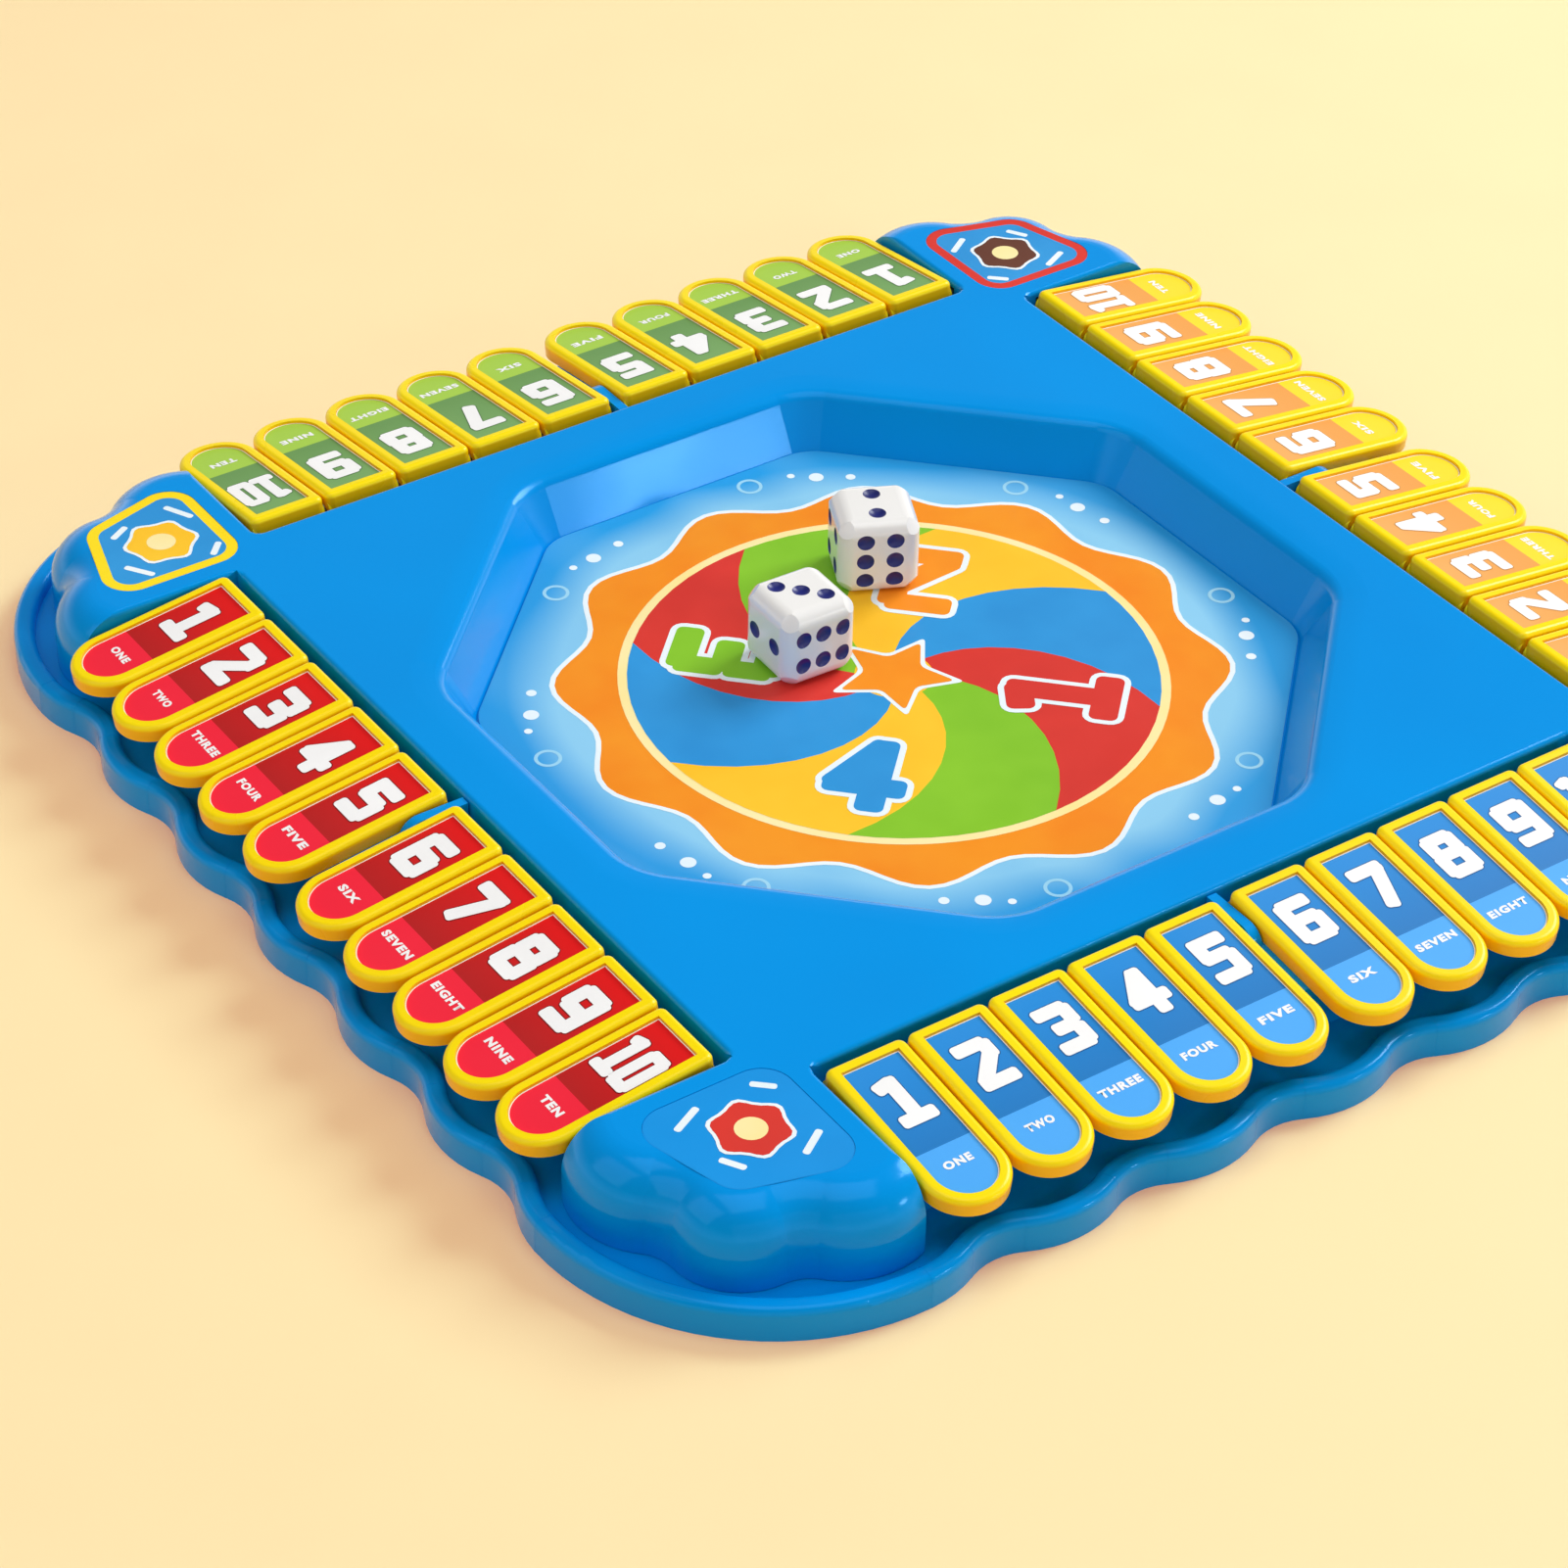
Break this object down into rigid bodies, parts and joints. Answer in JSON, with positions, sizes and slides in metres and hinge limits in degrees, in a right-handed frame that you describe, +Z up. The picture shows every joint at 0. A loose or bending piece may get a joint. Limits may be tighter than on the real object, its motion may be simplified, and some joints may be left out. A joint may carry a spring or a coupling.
{
  "type": "shut the box game",
  "caption": "Square plastic game tray with a sunken octagonal dice pit, a row of hinged number tiles on each side, lobed corners and a scalloped flange; tiles flip up as dice are thrown.",
  "frame": {"origin": "middle of the underside, on the table", "axes": "+Z up; the blue row of tiles is at -Y, orange at +X, green at +Y, red at -X"},
  "size_m": [0.2682, 0.2682, 0.0251],
  "materials": {
    "tray_blue": "glossy moulded",
    "tile_yellow": "glossy moulded",
    "insert_print": "printed card, satin",
    "badge_blue": "printed sticker",
    "badge_green": "printed sticker",
    "badge_red": "printed sticker",
    "badge_yellow": "printed sticker",
    "die_white": "polished",
    "steel": "plain drawn"
  },
  "bodies": {
    "tray": {"deck": "tray_blue", "base": "tray_blue", "pit_insert": "insert_print", "screws": "steel", "badge_front": "badge_blue", "badge_right": "badge_green", "badge_back": "badge_red", "badge_left": "badge_yellow", "blue_rod": "steel", "orange_rod": "steel", "green_rod": "steel", "red_rod": "steel"},
    "blue_tile_1": {"blue_tile_1": "tile_yellow"},
    "blue_tile_2": {"blue_tile_2": "tile_yellow"},
    "blue_tile_3": {"blue_tile_3": "tile_yellow"},
    "blue_tile_4": {"blue_tile_4": "tile_yellow"},
    "blue_tile_5": {"blue_tile_5": "tile_yellow"},
    "blue_tile_6": {"blue_tile_6": "tile_yellow"},
    "blue_tile_7": {"blue_tile_7": "tile_yellow"},
    "blue_tile_8": {"blue_tile_8": "tile_yellow"},
    "blue_tile_9": {"blue_tile_9": "tile_yellow"},
    "blue_tile_10": {"blue_tile_10": "tile_yellow"},
    "orange_tile_1": {"orange_tile_1": "tile_yellow"},
    "orange_tile_2": {"orange_tile_2": "tile_yellow"},
    "orange_tile_3": {"orange_tile_3": "tile_yellow"},
    "orange_tile_4": {"orange_tile_4": "tile_yellow"},
    "orange_tile_5": {"orange_tile_5": "tile_yellow"},
    "orange_tile_6": {"orange_tile_6": "tile_yellow"},
    "orange_tile_7": {"orange_tile_7": "tile_yellow"},
    "orange_tile_8": {"orange_tile_8": "tile_yellow"},
    "orange_tile_9": {"orange_tile_9": "tile_yellow"},
    "orange_tile_10": {"orange_tile_10": "tile_yellow"},
    "green_tile_1": {"green_tile_1": "tile_yellow"},
    "green_tile_2": {"green_tile_2": "tile_yellow"},
    "green_tile_3": {"green_tile_3": "tile_yellow"},
    "green_tile_4": {"green_tile_4": "tile_yellow"},
    "green_tile_5": {"green_tile_5": "tile_yellow"},
    "green_tile_6": {"green_tile_6": "tile_yellow"},
    "green_tile_7": {"green_tile_7": "tile_yellow"},
    "green_tile_8": {"green_tile_8": "tile_yellow"},
    "green_tile_9": {"green_tile_9": "tile_yellow"},
    "green_tile_10": {"green_tile_10": "tile_yellow"},
    "red_tile_1": {"red_tile_1": "tile_yellow"},
    "red_tile_2": {"red_tile_2": "tile_yellow"},
    "red_tile_3": {"red_tile_3": "tile_yellow"},
    "red_tile_4": {"red_tile_4": "tile_yellow"},
    "red_tile_5": {"red_tile_5": "tile_yellow"},
    "red_tile_6": {"red_tile_6": "tile_yellow"},
    "red_tile_7": {"red_tile_7": "tile_yellow"},
    "red_tile_8": {"red_tile_8": "tile_yellow"},
    "red_tile_9": {"red_tile_9": "tile_yellow"},
    "red_tile_10": {"red_tile_10": "tile_yellow"},
    "die_near": {"die_near": "die_white"},
    "die_far": {"die_far": "die_white"}
  },
  "joints": [
    {"name": "blue_tile_1_hinge", "type": "hinge", "parent": "tray", "child": "blue_tile_1", "pos_m": [-0.07545, -0.098, 0.0165], "axis": [-1, 0, 0], "range_deg": [0, 116]},
    {"name": "blue_tile_2_hinge", "type": "hinge", "parent": "tray", "child": "blue_tile_2", "pos_m": [-0.05895, -0.098, 0.0165], "axis": [-1, 0, 0], "range_deg": [0, 116]},
    {"name": "blue_tile_3_hinge", "type": "hinge", "parent": "tray", "child": "blue_tile_3", "pos_m": [-0.04245, -0.098, 0.0165], "axis": [-1, 0, 0], "range_deg": [0, 116]},
    {"name": "blue_tile_4_hinge", "type": "hinge", "parent": "tray", "child": "blue_tile_4", "pos_m": [-0.02595, -0.098, 0.0165], "axis": [-1, 0, 0], "range_deg": [0, 116]},
    {"name": "blue_tile_5_hinge", "type": "hinge", "parent": "tray", "child": "blue_tile_5", "pos_m": [-0.00945, -0.098, 0.0165], "axis": [-1, 0, 0], "range_deg": [0, 116]},
    {"name": "blue_tile_6_hinge", "type": "hinge", "parent": "tray", "child": "blue_tile_6", "pos_m": [0.00945, -0.098, 0.0165], "axis": [-1, 0, 0], "range_deg": [0, 116]},
    {"name": "blue_tile_7_hinge", "type": "hinge", "parent": "tray", "child": "blue_tile_7", "pos_m": [0.02595, -0.098, 0.0165], "axis": [-1, 0, 0], "range_deg": [0, 116]},
    {"name": "blue_tile_8_hinge", "type": "hinge", "parent": "tray", "child": "blue_tile_8", "pos_m": [0.04245, -0.098, 0.0165], "axis": [-1, 0, 0], "range_deg": [0, 116]},
    {"name": "blue_tile_9_hinge", "type": "hinge", "parent": "tray", "child": "blue_tile_9", "pos_m": [0.05895, -0.098, 0.0165], "axis": [-1, 0, 0], "range_deg": [0, 116]},
    {"name": "blue_tile_10_hinge", "type": "hinge", "parent": "tray", "child": "blue_tile_10", "pos_m": [0.07545, -0.098, 0.0165], "axis": [-1, 0, 0], "range_deg": [0, 116]},
    {"name": "orange_tile_1_hinge", "type": "hinge", "parent": "tray", "child": "orange_tile_1", "pos_m": [0.098, -0.07545, 0.0165], "axis": [0, -1, 0], "range_deg": [0, 116]},
    {"name": "orange_tile_2_hinge", "type": "hinge", "parent": "tray", "child": "orange_tile_2", "pos_m": [0.098, -0.05895, 0.0165], "axis": [0, -1, 0], "range_deg": [0, 116]},
    {"name": "orange_tile_3_hinge", "type": "hinge", "parent": "tray", "child": "orange_tile_3", "pos_m": [0.098, -0.04245, 0.0165], "axis": [0, -1, 0], "range_deg": [0, 116]},
    {"name": "orange_tile_4_hinge", "type": "hinge", "parent": "tray", "child": "orange_tile_4", "pos_m": [0.098, -0.02595, 0.0165], "axis": [0, -1, 0], "range_deg": [0, 116]},
    {"name": "orange_tile_5_hinge", "type": "hinge", "parent": "tray", "child": "orange_tile_5", "pos_m": [0.098, -0.00945, 0.0165], "axis": [0, -1, 0], "range_deg": [0, 116]},
    {"name": "orange_tile_6_hinge", "type": "hinge", "parent": "tray", "child": "orange_tile_6", "pos_m": [0.098, 0.00945, 0.0165], "axis": [0, -1, 0], "range_deg": [0, 116]},
    {"name": "orange_tile_7_hinge", "type": "hinge", "parent": "tray", "child": "orange_tile_7", "pos_m": [0.098, 0.02595, 0.0165], "axis": [0, -1, 0], "range_deg": [0, 116]},
    {"name": "orange_tile_8_hinge", "type": "hinge", "parent": "tray", "child": "orange_tile_8", "pos_m": [0.098, 0.04245, 0.0165], "axis": [0, -1, 0], "range_deg": [0, 116]},
    {"name": "orange_tile_9_hinge", "type": "hinge", "parent": "tray", "child": "orange_tile_9", "pos_m": [0.098, 0.05895, 0.0165], "axis": [0, -1, 0], "range_deg": [0, 116]},
    {"name": "orange_tile_10_hinge", "type": "hinge", "parent": "tray", "child": "orange_tile_10", "pos_m": [0.098, 0.07545, 0.0165], "axis": [0, -1, 0], "range_deg": [0, 116]},
    {"name": "green_tile_1_hinge", "type": "hinge", "parent": "tray", "child": "green_tile_1", "pos_m": [0.07545, 0.098, 0.0165], "axis": [1, 0, 0], "range_deg": [0, 116]},
    {"name": "green_tile_2_hinge", "type": "hinge", "parent": "tray", "child": "green_tile_2", "pos_m": [0.05895, 0.098, 0.0165], "axis": [1, 0, 0], "range_deg": [0, 116]},
    {"name": "green_tile_3_hinge", "type": "hinge", "parent": "tray", "child": "green_tile_3", "pos_m": [0.04245, 0.098, 0.0165], "axis": [1, 0, 0], "range_deg": [0, 116]},
    {"name": "green_tile_4_hinge", "type": "hinge", "parent": "tray", "child": "green_tile_4", "pos_m": [0.02595, 0.098, 0.0165], "axis": [1, 0, 0], "range_deg": [0, 116]},
    {"name": "green_tile_5_hinge", "type": "hinge", "parent": "tray", "child": "green_tile_5", "pos_m": [0.00945, 0.098, 0.0165], "axis": [1, 0, 0], "range_deg": [0, 116]},
    {"name": "green_tile_6_hinge", "type": "hinge", "parent": "tray", "child": "green_tile_6", "pos_m": [-0.00945, 0.098, 0.0165], "axis": [1, 0, 0], "range_deg": [0, 116]},
    {"name": "green_tile_7_hinge", "type": "hinge", "parent": "tray", "child": "green_tile_7", "pos_m": [-0.02595, 0.098, 0.0165], "axis": [1, 0, 0], "range_deg": [0, 116]},
    {"name": "green_tile_8_hinge", "type": "hinge", "parent": "tray", "child": "green_tile_8", "pos_m": [-0.04245, 0.098, 0.0165], "axis": [1, 0, 0], "range_deg": [0, 116]},
    {"name": "green_tile_9_hinge", "type": "hinge", "parent": "tray", "child": "green_tile_9", "pos_m": [-0.05895, 0.098, 0.0165], "axis": [1, 0, 0], "range_deg": [0, 116]},
    {"name": "green_tile_10_hinge", "type": "hinge", "parent": "tray", "child": "green_tile_10", "pos_m": [-0.07545, 0.098, 0.0165], "axis": [1, 0, 0], "range_deg": [0, 116]},
    {"name": "red_tile_1_hinge", "type": "hinge", "parent": "tray", "child": "red_tile_1", "pos_m": [-0.098, 0.07545, 0.0165], "axis": [0, 1, 0], "range_deg": [0, 116]},
    {"name": "red_tile_2_hinge", "type": "hinge", "parent": "tray", "child": "red_tile_2", "pos_m": [-0.098, 0.05895, 0.0165], "axis": [0, 1, 0], "range_deg": [0, 116]},
    {"name": "red_tile_3_hinge", "type": "hinge", "parent": "tray", "child": "red_tile_3", "pos_m": [-0.098, 0.04245, 0.0165], "axis": [0, 1, 0], "range_deg": [0, 116]},
    {"name": "red_tile_4_hinge", "type": "hinge", "parent": "tray", "child": "red_tile_4", "pos_m": [-0.098, 0.02595, 0.0165], "axis": [0, 1, 0], "range_deg": [0, 116]},
    {"name": "red_tile_5_hinge", "type": "hinge", "parent": "tray", "child": "red_tile_5", "pos_m": [-0.098, 0.00945, 0.0165], "axis": [0, 1, 0], "range_deg": [0, 116]},
    {"name": "red_tile_6_hinge", "type": "hinge", "parent": "tray", "child": "red_tile_6", "pos_m": [-0.098, -0.00945, 0.0165], "axis": [0, 1, 0], "range_deg": [0, 116]},
    {"name": "red_tile_7_hinge", "type": "hinge", "parent": "tray", "child": "red_tile_7", "pos_m": [-0.098, -0.02595, 0.0165], "axis": [0, 1, 0], "range_deg": [0, 116]},
    {"name": "red_tile_8_hinge", "type": "hinge", "parent": "tray", "child": "red_tile_8", "pos_m": [-0.098, -0.04245, 0.0165], "axis": [0, 1, 0], "range_deg": [0, 116]},
    {"name": "red_tile_9_hinge", "type": "hinge", "parent": "tray", "child": "red_tile_9", "pos_m": [-0.098, -0.05895, 0.0165], "axis": [0, 1, 0], "range_deg": [0, 116]},
    {"name": "red_tile_10_hinge", "type": "hinge", "parent": "tray", "child": "red_tile_10", "pos_m": [-0.098, -0.07545, 0.0165], "axis": [0, 1, 0], "range_deg": [0, 116]},
    {"name": "die_near_lift", "type": "slide", "parent": "tray", "child": "die_near", "axis": [0, 0, 1], "range_m": [0, 0.06]},
    {"name": "die_far_lift", "type": "slide", "parent": "tray", "child": "die_far", "axis": [0, 0, 1], "range_m": [0, 0.06]}
  ]
}
